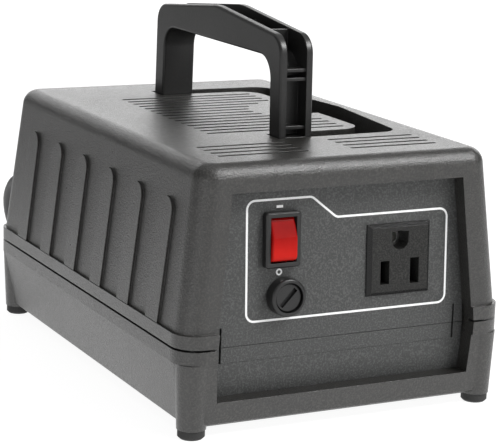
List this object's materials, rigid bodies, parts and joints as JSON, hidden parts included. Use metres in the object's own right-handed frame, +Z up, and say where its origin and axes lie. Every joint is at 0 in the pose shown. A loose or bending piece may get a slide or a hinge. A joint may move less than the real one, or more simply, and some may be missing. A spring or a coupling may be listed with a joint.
{
  "type": "travel voltage converter",
  "caption": "Bench-style travel voltage converter in a tapered vented case, with a folding handle, rocker switch, fuse holder and a three-pole output socket.",
  "frame": {"origin": "centre of the case's footprint on the surface it stands on", "axes": "+Z up, -Y out of the front panel, +X to the right seen from the front"},
  "size_m": [0.186, 0.2975, 0.142],
  "materials": {
    "black_plastic": "fine grained satin",
    "red_plastic": "gloss",
    "bobbin_plastic": "satin",
    "rubber": "matt",
    "steel": "zinc plated",
    "core_steel": "varnished laminations",
    "copper_wire": "enamelled wire",
    "brass": "plated",
    "glass": "clear"
  },
  "bodies": {
    "case": {"lower_case": "black_plastic", "upper_case": "black_plastic", "foot_front_left": "rubber", "foot_front_right": "rubber", "foot_rear_left": "rubber", "foot_rear_right": "rubber", "case_screws": "steel", "handle_pivot_pins": "steel", "front_panel_upper": "black_plastic", "front_panel_lower": "black_plastic", "rear_panel_upper": "black_plastic", "rear_panel_lower": "black_plastic", "switch_body": "black_plastic", "switch_terminals": "brass", "fuse_holder_body": "black_plastic", "fuse_holder_nut": "black_plastic", "fuse_holder_terminals": "brass", "socket_body": "black_plastic", "socket_contact_live": "brass", "socket_contact_neutral": "brass", "socket_contact_ground": "brass", "transformer_core": "core_steel", "bobbin": "bobbin_plastic", "primary_winding": "copper_wire", "secondary_winding": "copper_wire", "core_brackets": "steel", "bracket_screws": "steel", "core_bolts": "steel", "core_nuts": "steel", "thermal_cutout": "black_plastic", "strain_relief": "rubber", "cord_tube": "rubber", "cord_coil": "rubber", "cord_tail": "rubber", "plug_cover": "black_plastic", "plug_base": "black_plastic", "plug_pin_live": "brass", "plug_pin_neutral": "brass", "plug_pin_earth": "brass"},
    "handle": {"handle": "black_plastic"},
    "rocker": {"switch_rocker": "red_plastic"},
    "fuse_drawer": {"fuse_carrier": "black_plastic", "fuse_tube": "glass", "fuse_end_caps": "brass"},
    "fuse_cap": {"fuse_cap": "black_plastic"}
  },
  "joints": [
    {"name": "handle_fold", "type": "hinge", "parent": "case", "child": "handle", "pos_m": [-0.0005, 0.0083, 0.0915], "axis": [0, 1, 0], "range_deg": [0, 90]},
    {"name": "switch_rock", "type": "hinge", "parent": "case", "child": "rocker", "pos_m": [-0.0256, -0.08648, 0.0696], "axis": [1, 0, 0], "range_deg": [0, 22]},
    {"name": "fuse_slide", "type": "slide", "parent": "case", "child": "fuse_drawer", "axis": [0, -0.9988, 0.0499], "range_m": [0, 0.032]},
    {"name": "fuse_cap_turn", "type": "hinge", "parent": "fuse_drawer", "child": "fuse_cap", "pos_m": [-0.0239, -0.08753, 0.0486], "axis": [0, -0.9988, 0.0499], "range_deg": [0, 90]}
  ]
}
